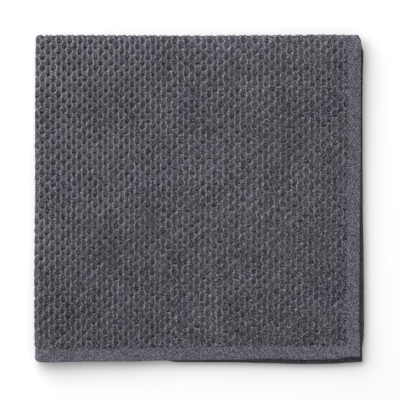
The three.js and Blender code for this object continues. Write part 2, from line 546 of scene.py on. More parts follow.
@dataclass(frozen=True)
class HoneycombWeave:
    """The cells of the weave: columns of pits between winding ridges, in millimetres.

    Neighbouring columns are half a repeat apart, so the pits lie on a chequerboard. The
    cloth is a little slacker near its right hem, where its columns are wider.
    """

    first_cell: float = 11.0
    wide_pitch: float = 4.36
    narrow_pitch: float = 4.02
    wide_until: float = 149.0
    repeat: float = 8.07
    ridge_wander: float = 0.13
    beat_length: float = 88.0
    beat_depth: float = 0.5
    beat_start: float = 219.0
    drift: float = 0.24
    slow_patch: tuple[float, float] = (6.0, 3.0)
    quick_patch: tuple[float, float] = (1.6, 0.9)
    quick_share: float = 0.6
    first_row: float = -2.0
    last_row: float = 64.0
    rows_read: int = 4000

    @property
    def wide_columns(self) -> float:
        """How many columns lie in the slacker part."""
        return (self.wide_until - self.first_cell) / self.wide_pitch

    def across(self, column: np.ndarray) -> np.ndarray:
        """The cloth measure across at each column number.

        Args:
            column: Column numbers, whole at the middle of a column.

        Returns:
            Cloth measures.
        """
        wide = self.first_cell + self.wide_pitch * np.minimum(column, self.wide_columns)
        return wide + self.narrow_pitch * np.maximum(column - self.wide_columns, 0.0)

    def column(self, across: np.ndarray) -> np.ndarray:
        """The column number at each cloth measure across.

        Args:
            across: Cloth measures.

        Returns:
            Column numbers.
        """
        wide = (np.minimum(across, self.wide_until) - self.first_cell) / self.wide_pitch
        return wide + np.maximum(across - self.wide_until, 0.0) / self.narrow_pitch

    def along(self, row: np.ndarray) -> np.ndarray:
        """The cloth measure along at each repeat number.

        The loom's beat packs some bands of the cloth closer than others.

        Args:
            row: Repeat numbers.

        Returns:
            Cloth measures.
        """
        even = self.first_cell + self.repeat * row
        beat = 2 * math.pi * (even - self.beat_start) / self.beat_length
        return even + self.beat_depth * np.sin(beat)

    def row(self, along: np.ndarray) -> np.ndarray:
        """The repeat number at each cloth measure along.

        Args:
            along: Cloth measures.

        Returns:
            Repeat numbers.
        """
        fine = np.linspace(self.first_row, self.last_row, self.rows_read)
        return np.interp(along, self.along(fine), fine)

    def stray(self, column: np.ndarray, row: np.ndarray, seed: int) -> np.ndarray:
        """How far the weave strays from even rows, slowly over the cloth and from cell to cell.

        Args:
            column: Column numbers.
            row: Repeat numbers.
            seed: The seed of the noise.

        Returns:
            Distances in millimetres.
        """
        slow, quick = (
            smooth_noise(column / columns, row / repeats, seed + turn)
            for turn, (columns, repeats) in enumerate((self.slow_patch, self.quick_patch))
        )
        return self.drift * (slow + self.quick_share * quick)


# How deep a cell is on its way up a column, from one wall to the next
CELL_FLOOR: Table = (
    (0.0, 0.30), (0.08, 0.16), (0.2, 0.50), (0.3, 0.90), (0.42, 1.0), (0.52, 0.90), (0.62, 0.62),
    (0.8, 0.52), (0.92, 0.44), (1.0, 0.30),
)

# Painted shade up the towel, from the bottom hem to the top fold: darker towards the bottom and in a band
# below the top fold; 0.5 is its mean
PAINTED_SHADE_UP_PAGE: Table = (
    (0.0, 0.39), (0.16, 0.39), (0.26, 0.41), (0.37, 0.45), (0.475, 0.5), (0.58, 0.54), (0.68, 0.55),
    (0.79, 0.45), (0.89, 0.64), (1.0, 0.64),
)

# The depth that the floor of a slack cell evens out to, and how well ridges hold in slack cloth
EVEN_FLOOR = 0.6
RIDGE_HOLD = 0.7

# How many repeats the crossing yarns climb over one column: the cells lean to the right
LEAN = 0.22

# More cells than any column holds, so that every cell has a number of its own
CELLS_UP = 128.0


@dataclass(frozen=True)
class CellPoint:
    """What a node tree knows of the weave at a point."""

    valley: Link
    depth: Link
    fullness: Link
    number: Link


def read_cell(tree: bpy.types.NodeTree, column: Link, row: Link, raised: Link) -> CellPoint:
    """Adds the nodes that find the cell of the weave a point lies in, and how deep it is there.

    Where the weave lies slack the walls between cells go before the ridges do.

    Args:
        tree: The node tree of the relief or of a finish.
        column: The column number.
        row: The repeat number.
        raised: How fully the weave is raised.

    Returns:
        The valley across the column, the depth of the cell, how full its ridges are and the
        cell's own number.
    """
    half_turns = add_node(tree, "ShaderNodeMath", {0: column, 1: math.pi}, operation="MULTIPLY")
    wave = add_node(tree, "ShaderNodeMath", {0: half_turns}, operation="COSINE")
    valley = add_node(tree, "ShaderNodeMath", {0: wave}, operation="ABSOLUTE")

    # Every other column is half a repeat further up
    whole_column = add_node(tree, "ShaderNodeMath", {0: column}, operation="ROUND")
    parity = add_node(tree, "ShaderNodeMath", {0: whole_column, 1: 2.0}, operation="FLOORED_MODULO")
    own_row = add_node(tree, "ShaderNodeMath", {0: parity, 1: -0.5, 2: row}, operation="MULTIPLY_ADD")
    off_middle = add_node(tree, "ShaderNodeMath", {0: column, 1: whole_column}, operation="SUBTRACT")
    upright_row = add_node(tree, "ShaderNodeMath", {0: own_row, 1: 0.5}, operation="ADD")
    leaning = {0: off_middle, 1: LEAN, 2: upright_row}
    leaning_row = add_node(tree, "ShaderNodeMath", leaning, operation="MULTIPLY_ADD")
    whole_row = add_node(tree, "ShaderNodeMath", {0: leaning_row}, operation="FLOOR")
    up_the_cell = add_node(tree, "ShaderNodeMath", {0: leaning_row}, operation="FRACT")
    floor = add_node(tree, "ShaderNodeFloatCurve", {"Value": up_the_cell}, CELL_FLOOR)
    fullness = add_node(tree, "ShaderNodeMath", {0: raised, 1: RIDGE_HOLD}, operation="POWER")
    off_even = add_node(tree, "ShaderNodeMath", {0: floor, 1: EVEN_FLOOR}, operation="SUBTRACT")
    evened = {0: off_even, 1: fullness, 2: EVEN_FLOOR}
    own_floor = add_node(tree, "ShaderNodeMath", evened, operation="MULTIPLY_ADD")
    hollow = add_node(tree, "ShaderNodeMath", {0: valley, 1: own_floor}, operation="MULTIPLY")
    depth = add_node(tree, "ShaderNodeMath", {0: hollow, 1: fullness}, operation="MULTIPLY")
    counted = {0: whole_column, 1: CELLS_UP, 2: whole_row}
    number = add_node(tree, "ShaderNodeMath", counted, operation="MULTIPLY_ADD")
    return CellPoint(valley, depth, fullness, number)


def smooth_noise(x: np.ndarray, y: np.ndarray, seed: int) -> np.ndarray:
    """Soft seeded noise between -1 and 1 with hills about one unit apart.

    Args:
        x: Places across.
        y: Places along.
        seed: The seed of the noise.

    Returns:
        The noise there.
    """
    size = 64
    hills = np.random.default_rng(seed).uniform(-1.0, 1.0, (size, size))
    left = np.floor(x).astype(int)
    low = np.floor(y).astype(int)
    share_x = smooth_step(x - left)
    share_y = smooth_step(y - low)

    def corner(right: int, up: int) -> np.ndarray:
        """The hill at one corner of each place's square."""
        return hills[(low + up) % size, (left + right) % size]

    near = corner(0, 0) * (1 - share_x) + corner(1, 0) * share_x
    far = corner(0, 1) * (1 - share_x) + corner(1, 1) * share_x
    return near * (1 - share_y) + far * share_y


@dataclass(frozen=True)
class BakeLayout:
    """Where the sides of the cloth lie on its bake map, in shares of the map."""

    margin: float = 0.005
    face_width: float = 0.99
    face_height: float = 0.80
    shown_share: float = 0.76
    back_width: float = 0.55
    back_bottom: float = 0.825
    back_height: float = 0.165
    rim_left: float = 0.58
    rim_length: float = 0.41
    rim_bottom: float = 0.83
    rim_step: float = 0.04
    rim_width: float = 0.02


@dataclass(frozen=True)
class MeshLines:
    """Where the cloth's mesh lines lie, in millimetres: close round its edges, weave and folds."""

    plan: FoldPlan
    plain_step: float = 8.0
    turn_lines: tuple[float, ...] = (0.0, 0.08, 0.25, 0.5)
    hem_lines: tuple[float, ...] = (1.4, 2.1, 3.1, 4.1, 5.1, 6.1, 7.1)
    groove_lines: tuple[float, ...] = (-1.0, -0.5, 0.0, 0.5, 1.0)
    far_hem_line: float = 4.5
    far_turn_lines: tuple[float, ...] = (0.5, 0.12, 0.0)
    closest: float = 0.2
    hem_margin: float = 2.0
    back_turn_reach: float = 4.5
    back_turn_gap: float = 0.9
    back_edge_reach: float = 1.2
    back_edge_gap: float = 0.2
    back_fold_reach: float = 12.0
    back_hem_gap: float = 2.0
    back_flat_gap: float = 7.2

    def face(self, weave_lines: np.ndarray, show_until: float) -> np.ndarray:
        """The mesh lines of the face side in one direction.

        Args:
            weave_lines: The measures of the lines that follow the weave.
            show_until: Where the part that shows ends.

        Returns:
            Measures from one edge of the cloth to the other.
        """
        plan = self.plan
        groove = plan.hem_width + plan.hem_groove_half_width * np.array(self.groove_lines)
        near = np.concatenate([self.turn_lines, [plan.edge_rounding], self.hem_lines, groove])
        far = np.concatenate([groove[::-2], [self.far_hem_line, plan.edge_rounding], self.far_turn_lines])
        end = plan.side - far[0]
        clear = weave_lines > near[-1] + self.closest
        shown = weave_lines[clear & (weave_lines < show_until)]
        steps = int(round((end - shown[-1]) / self.plain_step))
        plain = np.linspace(shown[-1], end, steps + 1)[1:-1]
        return np.concatenate([near, shown, plain, plan.side - far])

    def back_gap(self, here: float) -> float:
        """How far apart the back side's mesh lines lie at least.

        Args:
            here: The cloth measure of a line.

        Returns:
            The distance in millimetres.
        """
        off_fold = abs(here - self.plan.half)
        in_hem = min(here, self.plan.side - here) < self.plan.hem_width + self.hem_margin
        if off_fold < self.back_turn_reach:
            return self.back_turn_gap
        if in_hem and here < self.back_edge_reach:
            return self.back_edge_gap
        if in_hem or off_fold < self.back_fold_reach:
            return self.back_hem_gap
        return self.back_flat_gap

    def back(self, face_lines: np.ndarray) -> np.ndarray:
        """Which of the mesh lines the back side keeps: few on the flat, more round the fold.

        Args:
            face_lines: The mesh lines of the face side.

        Returns:
            The numbers of the lines kept.
        """
        keep = [0]
        for number in range(1, len(face_lines) - 1):
            here = face_lines[number]
            if here - face_lines[keep[-1]] >= self.back_gap(here):
                keep.append(number)
        keep.append(len(face_lines) - 1)
        return np.array(keep)


@dataclass
class Lattice:
    """The mesh points of the cloth's face side, in rows along it, and what is known of each."""

    across_lines: np.ndarray
    along_lines: np.ndarray
    back_columns: np.ndarray
    back_rows: np.ndarray
    column: np.ndarray
    row: np.ndarray
    across: np.ndarray
    along: np.ndarray
    raised: np.ndarray

    @property
    def flat(self) -> np.ndarray:
        """The even cloth measures, across and along, of each point."""
        return np.stack(np.meshgrid(self.across_lines, self.along_lines), axis=-1)

    @property
    def kept(self) -> tuple[np.ndarray, ...]:
        """Which of the points have one on the back side behind them."""
        return np.ix_(self.back_rows, self.back_columns)

    def both_sides(self, face: np.ndarray, back: np.ndarray | None = None) -> np.ndarray:
        """What the points of the face side hold, and then those of the back side.

        Args:
            face: The face side's values.
            back: The back side's values, where they aren't those of the face side.

        Returns:
            One row for each point.
        """
        width = face.shape[-1]
        behind = face[self.kept] if back is None else back
        return np.concatenate([face.reshape(-1, width), behind.reshape(-1, width)])

    def face_numbers(self) -> np.ndarray:
        """The number of each point of the face side."""
        return np.arange(self.across.size).reshape(self.across.shape)

    def back_numbers(self) -> np.ndarray:
        """The number of each point of the back side, which come after those of the face side."""
        shape = (self.back_rows.size, self.back_columns.size)
        return self.across.size + np.arange(shape[0] * shape[1]).reshape(shape)


def quads(number: np.ndarray) -> list[list[int]]:
    """Faces between the points of a lattice.

    Args:
        number: The number of each point of the lattice.

    Returns:
        The faces, each a list of four point numbers.
    """
    corners = [number[:-1, :-1], number[1:, :-1], number[1:, 1:], number[:-1, 1:]]
    return np.stack(corners, axis=-1).reshape(-1, 4).tolist()


def read_corners(mesh: bpy.types.Mesh) -> np.ndarray:
    """The number of the point at each corner of each face of a mesh."""
    corners = np.empty(len(mesh.loops), int)
    mesh.loops.foreach_get("vertex_index", corners)
    return corners


@dataclass
class TowelCloth:
    """The hemmed cloth, folded in quarters, with its honeycomb raised on the sides that show."""

    plan: FoldPlan
    weave: HoneycombWeave
    name: str = "towel"
    cell_samples: int = 4
    repeat_samples: int = 8
    most_columns: int = 140
    most_repeats: int = 70
    show_across: float = 262.0
    raised_until: float = 254.0
    show_along: float = 256.0
    hem_overlap: float = 0.3
    rim_clearance: float = 0.01
    raised_gap: float = 0.8
    raised_over: float = 1.6
    plain_over: float = 4.0
    inner_margin: float = 6.0
    shown_margin: float = 0.5
    shown_over: float = 2.0
    open_corner: float = 0.38
    open_left: float = 0.36
    open_top: float = 0.24
    open_both: float = 0.1
    relief_depth: float = 1.8 * MM
    crest_rise: float = 0.6 * MM
    unevenness: float = 0.16 * MM
    roll_size: float = 1 / 260
    roll_detail: float = 2.0
    roll_roughness: float = 0.6
    roll_middle: float = 0.62
    shallowest: float = 0.92
    deepest: float = 1.12
    drift_seeds: tuple[int, int] = (3, 5)
    relief_seed: int = 11
    bake: BakeLayout = BakeLayout()

    def lattice(self) -> Lattice:
        """Lays out the mesh points of the face side.

        Returns:
            The points and what is known of each.
        """
        weave, lines = self.weave, MeshLines(self.plan)
        fine_columns = np.arange(0, self.most_columns * self.cell_samples) / self.cell_samples
        fine_rows = np.arange(0, self.most_repeats * self.repeat_samples) / self.repeat_samples
        across_lines = lines.face(weave.across(fine_columns), self.show_across)
        along_lines = lines.face(weave.along(fine_rows), self.show_along)
        column, row = np.meshgrid(weave.column(across_lines), weave.row(along_lines))
        across, along, raised = self.woven(*np.meshgrid(across_lines, along_lines))
        back_columns, back_rows = lines.back(across_lines), lines.back(along_lines)
        return Lattice(
            across_lines, along_lines, back_columns, back_rows, column, row, across, along, raised
        )

    def woven(
        self,
        flat_across: np.ndarray,
        flat_along: np.ndarray,
    ) -> tuple[np.ndarray, np.ndarray, np.ndarray]:
        """Moves even cloth measures to where the winding, uneven weave has them.

        Args:
            flat_across: Even cloth measures across.
            flat_along: Even cloth measures along.

        Returns:
            The weave's own measures across and along, and how fully it is raised there.
        """
        plan, weave = self.plan, self.weave
        column, row = weave.column(flat_across), weave.row(flat_along)

        # The honeycomb is not raised in the hem, nor where the mesh is plain
        edge = plan.from_edge(flat_across, flat_along)
        off_hem = smooth_step((edge - plan.hem_width - self.raised_gap) / self.raised_over)
        before_plain = smooth_step((self.raised_until - flat_across) / self.plain_over)
        inner = flat_along > plan.half - self.inner_margin
        raised = np.where(inner, off_hem, off_hem * before_plain)
        raised *= smooth_step((self.show_along - self.shown_margin - flat_along) / self.shown_over)

        # The ridges wind round the pits, and the whole weave drifts a little
        wander = weave.ridge_wander * np.cos(2 * math.pi * row) * np.sin(math.pi * column) * raised
        stray_across, stray_along = (weave.stray(column, row, seed) for seed in self.drift_seeds)
        across = weave.across(column + wander) + stray_across * raised
        along = flat_along + stray_along * raised
        held = np.clip(across, self.rim_clearance, plan.side - self.rim_clearance)
        across = np.where(edge > 0.0, held, flat_across)

        # Inner layers turn the left fold in less cloth, so their lines are drawn closer there
        arc = plan.left_arc(along)
        off_fold = across - plan.half
        outer_arc = plan.front_left_arc
        flat_run = (np.abs(off_fold) - outer_arc) * (plan.half - arc) / (plan.half - outer_arc)
        in_turn = np.abs(off_fold) < outer_arc
        drawn = np.where(in_turn, off_fold * arc / outer_arc, np.sign(off_fold) * (arc + flat_run))
        across = np.where(along > plan.half - plan.top_arc, plan.half + drawn, across)
        return across, along, raised * self.openness(flat_across, flat_along)

    def yarn_points(
        self,
        column: np.ndarray,
        row: np.ndarray,
        height: np.ndarray,
    ) -> tuple[np.ndarray, np.ndarray]:
        """Where points of the raised yarns lie.

        Args:
            column: Column numbers.
            row: Repeat numbers.
            height: Heights over the cloth's plain surface, in millimetres.

        Returns:
            Points in metres, and how full the ridges are at each.
        """
        across, along, raised = self.woven(self.weave.across(column), self.weave.along(row))
        fullness = raised**RIDGE_HOLD
        lift = self.plan.half_thickness(across, along) + height * fullness
        middle = self.plan.place(across, along)
        return (middle + self.plan.outward(across, along) * lift[..., None]) * MM, fullness

    def openness(self, across: np.ndarray, along: np.ndarray) -> np.ndarray:
        """How open the cells lie: fullest by the folds, closer towards the free corner.

        Args:
            across: Cloth measures across.
            along: Cloth measures along.

        Returns:
            Shares of the full relief.
        """
        to_left = np.clip(across / self.plan.half, 0.0, 1.0)
        to_top = np.clip(along / self.plan.half, 0.0, 1.0)
        open_alone = self.open_corner + self.open_left * to_left + self.open_top * to_top
        return open_alone + self.open_both * to_left * to_top

    def bake_places(self, lattice: Lattice) -> np.ndarray:
        """Where the face side's points lie on the bake map, most of it for what shows.

        Args:
            lattice: The face side's mesh points.

        Returns:
            Places across and up the map for each point.
        """
        bake = self.bake
        across_knots = [0.0, self.show_across, self.plan.side]
        across_places = [bake.margin, bake.shown_share * bake.face_width, bake.face_width]
        along_knots = [0.0, self.show_along, self.plan.side]
        along_places = [bake.margin, bake.shown_share * bake.face_height, bake.face_height]
        across_map = np.interp(lattice.across_lines, across_knots, across_places)
        along_map = np.interp(lattice.along_lines, along_knots, along_places)
        return np.stack(np.meshgrid(across_map, along_map), axis=-1)

    def build(self) -> bpy.types.Object:
        """Builds the folded cloth as one closed mesh, before its honeycomb is raised.

        Returns:
            The cloth's object.
        """
        plan, lattice = self.plan, self.lattice()
        outward = plan.outward(lattice.across, lattice.along)
        half = plan.half_thickness(lattice.across, lattice.along)[..., None]
        middle = plan.place(lattice.across, lattice.along)
        back_points = (middle - outward * half)[lattice.kept]
        points = lattice.both_sides(middle + outward * half, back_points) * MM
        face_quads = quads(lattice.face_numbers())
        back_quads = [[quad[0], *quad[:0:-1]] for quad in quads(lattice.back_numbers())]
        rim = self.rim(lattice)
        towel = add_piece(self.name, points, faces=face_quads + back_quads + sum(rim, []))
        self.store_maps(towel.data, lattice, [len(side) for side in rim])
        self.store_attributes(towel.data, lattice, outward)
        towel.data.validate()
        return towel

    def rim(self, lattice: Lattice) -> list[list[list[int]]]:
        """Faces that join the face side to the back side round the cloth's edge.

        Args:
            lattice: The face side's mesh points.

        Returns:
            The faces of each of the four sides, each a list of point numbers.
        """
        number, back_number = lattice.face_numbers(), lattice.back_numbers()
        sides = (
            (number[0, :], back_number[0, :], lattice.back_columns, False),
            (number[:, -1], back_number[:, -1], lattice.back_rows, False),
            (number[-1, :], back_number[-1, :], lattice.back_columns, True),
            (number[:, 0], back_number[:, 0], lattice.back_rows, True),
        )
        faces = []
        for face_line, back_line, kept, turned in sides:
            faces.append([])
            for piece in range(len(kept) - 1):
                run = face_line[kept[piece] : kept[piece + 1] + 1].tolist()
                corners = run + [int(back_line[piece + 1]), int(back_line[piece])]
                faces[-1].append(corners[::-1] if turned else corners)
        return faces

    def store_maps(self, mesh: bpy.types.Mesh, lattice: Lattice, rim_counts: list[int]) -> None:
        """Gives the mesh its cell map and its bake map.

        Args:
            mesh: The cloth's mesh.
            lattice: The face side's mesh points.
            rim_counts: How many faces, last in the mesh, each side of the rim has.
        """
        bake, side = self.bake, self.plan.side
        back_corner = np.array([bake.margin, bake.back_bottom])
        back_size = np.array([bake.back_width, bake.back_height])
        back_places = back_corner + back_size * lattice.flat[lattice.kept] / side
        flat = lattice.both_sides(lattice.flat)
        cells = lattice.both_sides(np.stack([lattice.column, lattice.row], axis=-1))
        places = lattice.both_sides(self.bake_places(lattice), back_places)
        corner_points = read_corners(mesh)
        corner_bake = places[corner_points]

        # The rim's faces lie in their own strips of the bake map
        begin = len(mesh.polygons) - sum(rim_counts)
        for number, count in enumerate(rim_counts):
            for polygon in mesh.polygons[begin : begin + count]:
                corners = np.arange(polygon.loop_start, polygon.loop_start + polygon.loop_total)
                theirs = corner_points[corners]
                on_back = theirs >= lattice.across.size
                corner_bake[corners, 0] = bake.rim_left + bake.rim_length * flat[theirs, number % 2] / side
                corner_bake[corners, 1] = bake.rim_bottom + bake.rim_step * number + bake.rim_width * on_back
            begin += count

        for name, values in ((CELL_MAP, cells[corner_points]), (BAKE_MAP, corner_bake)):
            layer = mesh.uv_layers.new(name=name, do_init=False)
            layer.uv.foreach_set("vector", values.astype(np.float32).reshape(-1))
        mesh.uv_layers[CELL_MAP].active_render = True
        mesh.uv_layers.active = mesh.uv_layers[CELL_MAP]

    def store_attributes(self, mesh: bpy.types.Mesh, lattice: Lattice, outward: np.ndarray) -> None:
        """Stores what the relief needs to know at each point, and which faces are hem.

        Args:
            mesh: The cloth's mesh.
            lattice: The face side's mesh points.
            outward: The face side's directions.
        """
        cell = np.stack([lattice.column, lattice.row, lattice.raised], axis=-1)
        for name, values in ((CELL_PLACE, cell), (OUTWARD, outward)):
            plain_back = np.zeros_like(values[lattice.kept])
            store_vectors(mesh, name, lattice.both_sides(values, plain_back))

        edge = self.plan.from_edge(lattice.flat[..., 0], lattice.flat[..., 1])
        point_edge = lattice.both_sides(edge[..., None])[:, 0]
        starts, totals = np.empty((2, len(mesh.polygons)), int)
        mesh.polygons.foreach_get("loop_start", starts)
        mesh.polygons.foreach_get("loop_total", totals)
        face_edge = np.add.reduceat(point_edge[read_corners(mesh)], starts) / totals
        hem = mesh.attributes.new(HEM_FACES, "BOOLEAN", "FACE")
        hem.data.foreach_set("value", face_edge < self.plan.hem_width + self.hem_overlap)

    def relief_tree(self) -> bpy.types.NodeTree:
        """Builds the node tree that raises the honeycomb on the cloth.

        Returns:
            The tree.
        """
        takes = {
            "Cloth": "Geometry",
            "Relief depth": "Float",
            "Crest rise": "Float",
            "Unevenness": "Float",
            "Seed": "Int",
            "Weave finish": "Material",
            "Hem finish": "Material",
        }
        tree, given = start_tree("raise_honeycomb", takes, "Cloth")
        cell, outward, hem = (
            add_node(tree, "GeometryNodeInputNamedAttribute", {"Name": name}, data_type=kind).outputs[0]
            for name, kind in (
                (CELL_PLACE, "FLOAT_VECTOR"),
                (OUTWARD, "FLOAT_VECTOR"),
                (HEM_FACES, "BOOLEAN"),
            )
        )
        column, row, raised = add_node(tree, "ShaderNodeSeparateXYZ", {0: cell}).outputs
        found = read_cell(tree, column, row, raised)

        # Each cell has its own depth
        limits = {DRAW_LEAST: self.shallowest, DRAW_MOST: self.deepest}
        draw = limits | {"ID": found.number, "Seed": given["Seed"]}
        own = add_node(tree, "FunctionNodeRandomValue", draw, data_type="FLOAT").outputs[DRAWN]
        carved = add_node(tree, "ShaderNodeMath", {0: found.depth, 1: own}, operation="MULTIPLY")
        dug = add_node(tree, "ShaderNodeMath", {0: carved, 1: given["Relief depth"]}, operation="MULTIPLY")
        crest = {0: given["Crest rise"], 1: found.fullness}
        risen = add_node(tree, "ShaderNodeMath", crest, operation="MULTIPLY")
        depth = add_node(tree, "ShaderNodeMath", {0: dug, 1: risen}, operation="SUBTRACT")

        # Yarns are not even, so the surface rolls a little everywhere
        position = add_node(tree, "GeometryNodeInputPosition")
        size = {"Vector": position, "Scale": 1 / self.roll_size}
        fineness = {"Detail": self.roll_detail, "Roughness": self.roll_roughness}
        rolling = add_node(tree, "ShaderNodeTexNoise", size | fineness)
        centred = add_node(tree, "ShaderNodeMath", {0: rolling, 1: self.roll_middle}, operation="SUBTRACT")
        rolled = add_node(tree, "ShaderNodeMath", {0: centred, 1: given["Unevenness"]}, operation="MULTIPLY")
        height = add_node(tree, "ShaderNodeMath", {0: rolled, 1: depth}, operation="SUBTRACT")
        offset = add_node(tree, "ShaderNodeVectorMath", {0: outward, "Scale": height}, operation="SCALE")
        moved = add_node(tree, "GeometryNodeSetPosition", {"Geometry": given["Cloth"], "Offset": offset})
        end_tree(tree, moved, {given["Weave finish"]: True, given["Hem finish"]: hem})
        return tree

    def dress(self, towel: bpy.types.Object, weave: bpy.types.Material, hem: bpy.types.Material) -> None:
        """Raises the honeycomb and gives the cloth its finishes.

        Args:
            towel: The cloth's object.
            weave: The finish of the honeycomb.
            hem: The finish of the hem.
        """
        given = {
            "Relief depth": self.relief_depth,
            "Crest rise": self.crest_rise,
            "Unevenness": self.unevenness,
            "Seed": self.relief_seed,
            "Weave finish": weave,
            "Hem finish": hem,
        }
        shape_piece(towel, self.relief_tree(), given)


@dataclass
class YarnWork:
    """The yarns that float over the honeycomb, in millimetres.

    Ridge yarns wind up between the columns, wall yarns cross each column between its cells,
    and rungs cross the shallow part of each cell.
    """

    cloth: TowelCloth
    ridge_radius: float = 0.48
    wall_radius: float = 0.4
    rung_radius: float = 0.3
    ridge_height: float = 0.42
    wall_sag: float = 0.62
    wall_rise: float = 0.08
    rung_rise: float = 0.16
    rung_depth: float = 0.9
    rung_reach: tuple[float, ...] = (-0.43, -0.16, 0.16, 0.43)
    wall_reach: tuple[float, ...] = (-0.5, -0.25, 0.0, 0.25, 0.5)
    uneven: float = 0.14
    mean_pitch: float = 4.2
    row_stray: float = 0.015
    first_row: float = 0.1
    past_last_row: float = 0.7
    past_last_rung: float = 0.6
    plain_margin: float = 2.0
    thick_and_thin: float = 0.22
    sides: int = 5
    samples: int = 6
    rungs: tuple[float, ...] = (0.375, 0.21, 0.04)
    seed: int = 31

    @property
    def last_column(self) -> int:
        """The last column whose yarns show."""
        return int(self.cloth.weave.column(np.array(self.cloth.raised_until - self.plain_margin)))

    @property
    def last_row(self) -> int:
        """The last repeat whose yarns show."""
        return int(self.cloth.weave.row(np.array(self.cloth.show_along)))

    def ridges(self) -> tuple[np.ndarray, np.ndarray, np.ndarray]:
        """The ridge yarns.

        Returns:
            Column numbers, repeat numbers and heights, one row for each yarn.
        """
        rng = np.random.default_rng(self.seed)
        rows = np.arange(self.first_row, self.last_row + self.past_last_row, 1 / self.samples)
        columns = np.arange(self.last_column) + 0.5
        column, row = np.meshgrid(columns, rows, indexing="ij")
        column = column + rng.normal(0.0, self.uneven / self.mean_pitch, column.shape)
        height = self.ridge_height + rng.normal(0.0, self.uneven, column.shape)
        return column, row, height

    def walls(self) -> tuple[np.ndarray, np.ndarray, np.ndarray]:
        """The yarns over the walls between the cells of each column.

        Returns:
            Column numbers, repeat numbers and heights, one row for each yarn.
        """
        rng = np.random.default_rng(self.seed + 1)
        across = np.array(self.wall_reach)
        whole_column, whole_row = np.meshgrid(
            np.arange(1, self.last_column), np.arange(0, self.last_row + 1), indexing="ij"
        )
        parity = (whole_column % 2) / 2
        column = whole_column.reshape(-1, 1) + across
        dip = self.wall_rise * np.cos(math.pi * across) - LEAN * across
        row = (whole_row + 0.5 + parity - (parity > 0)).reshape(-1, 1) + dip
        row = row + rng.normal(0.0, self.row_stray, row.shape)
        height = self.ridge_height - self.wall_sag * np.cos(math.pi * across)
        height = height + rng.normal(0.0, self.uneven, column.shape)
        shown = (row > self.first_row).all(axis=1)
        return column[shown], row[shown], height[shown]

    def rung_lines(self) -> tuple[np.ndarray, np.ndarray, np.ndarray]:
        """The rungs inside the cells.

        Returns:
            Column numbers, repeat numbers and heights, one row for each yarn.
        """
        rng = np.random.default_rng(self.seed + 2)
        across = np.array(self.rung_reach)
        whole_column, whole_row, place = np.meshgrid(
            np.arange(1, self.last_column),
            np.arange(0, self.last_row + 1),
            np.array(self.rungs),
            indexing="ij",
        )
        parity = (whole_column % 2) / 2
        column = whole_column.reshape(-1, 1) + across
        row = (whole_row + parity + place).reshape(-1, 1) - LEAN * across
        row = row + rng.normal(0.0, self.row_stray, row.shape)
        floor = read_table(CELL_FLOOR, place.reshape(-1, 1) + 0.5)
        valley = np.cos(math.pi * across)
        depth = self.cloth.relief_depth / MM * floor * valley
        height = self.cloth.crest_rise / MM - depth * self.rung_depth + self.rung_rise
        height = height + rng.normal(0.0, self.uneven, column.shape)
        before_last = row < self.last_row + self.past_last_rung
        shown = ((row > self.first_row) & before_last).all(axis=1)
        return column[shown], row[shown], height[shown]

    def build(self, name: str, lines: tuple[np.ndarray, np.ndarray, np.ndarray]) -> bpy.types.Object:
        """Lays out one kind of yarn as lines.

        Args:
            name: The piece's name.
            lines: Column numbers, repeat numbers and heights.

        Returns:
            The piece's object, before its yarns are spun.
        """
        points, full = self.cloth.yarn_points(*lines)
        count, length = points.shape[:2]
        number = np.arange(count * length).reshape(count, length)
        edges = np.stack([number[:, :-1], number[:, 1:]], axis=-1).reshape(-1, 2)
        yarns = add_piece(name, points.reshape(-1, 3), edges=edges.tolist())
        fullness = yarns.data.attributes.new(FULLNESS, "FLOAT", "POINT")
        fullness.data.foreach_set("value", full.astype(np.float32).reshape(-1))
        log.info("%s: %d yarns", name, count)
        return yarns

    def spinning_tree(self) -> bpy.types.NodeTree:
        """Builds the node tree that spins a round yarn along every line.

        Returns:
            The tree.
        """
        takes = {
            "Lines": "Geometry",
            "Yarn radius": "Float",
            "Unevenness": "Float",
            "Sides": "Int",
            "Seed": "Int",
            "Yarn finish": "Material",
        }
        tree, given = start_tree("spin_yarns", takes, "Yarns")
        curves = add_node(tree, "GeometryNodeMeshToCurve", {"Mesh": given["Lines"]})
        thin, thick = (
            add_node(tree, "ShaderNodeMath", {0: 1.0, 1: given["Unevenness"]}, operation=operation)
            for operation in ("SUBTRACT", "ADD")
        )
        draw = {DRAW_LEAST: thin, DRAW_MOST: thick, "Seed": given["Seed"]}
        uneven = add_node(tree, "FunctionNodeRandomValue", draw, data_type="FLOAT").outputs[DRAWN]
        sized = add_node(tree, "GeometryNodeSetCurveRadius", {"Curve": curves, "Radius": uneven})
        circle = {"Resolution": given["Sides"], "Radius": given["Yarn radius"]}
        profile = add_node(tree, "GeometryNodeCurvePrimitiveCircle", circle)
        tube = {"Curve": sized, "Profile Curve": profile, "Fill Caps": True}
        spun = add_node(tree, "GeometryNodeCurveToMesh", tube)
        end_tree(tree, spun, {given["Yarn finish"]: True})
        return tree

    def dress(self, yarns: bpy.types.Object, radius: float, finish: bpy.types.Material) -> None:
        """Spins the yarns in their finish.

        Args:
            yarns: The piece's object.
            radius: The yarn's radius in millimetres.
            finish: The finish of the yarn.
        """
        given = {
            "Yarn radius": radius * MM,
            "Unevenness": self.thick_and_thin,
            "Sides": self.sides,
            "Seed": self.seed,
            "Yarn finish": finish,
        }
        shape_piece(yarns, self.spinning_tree(), given)


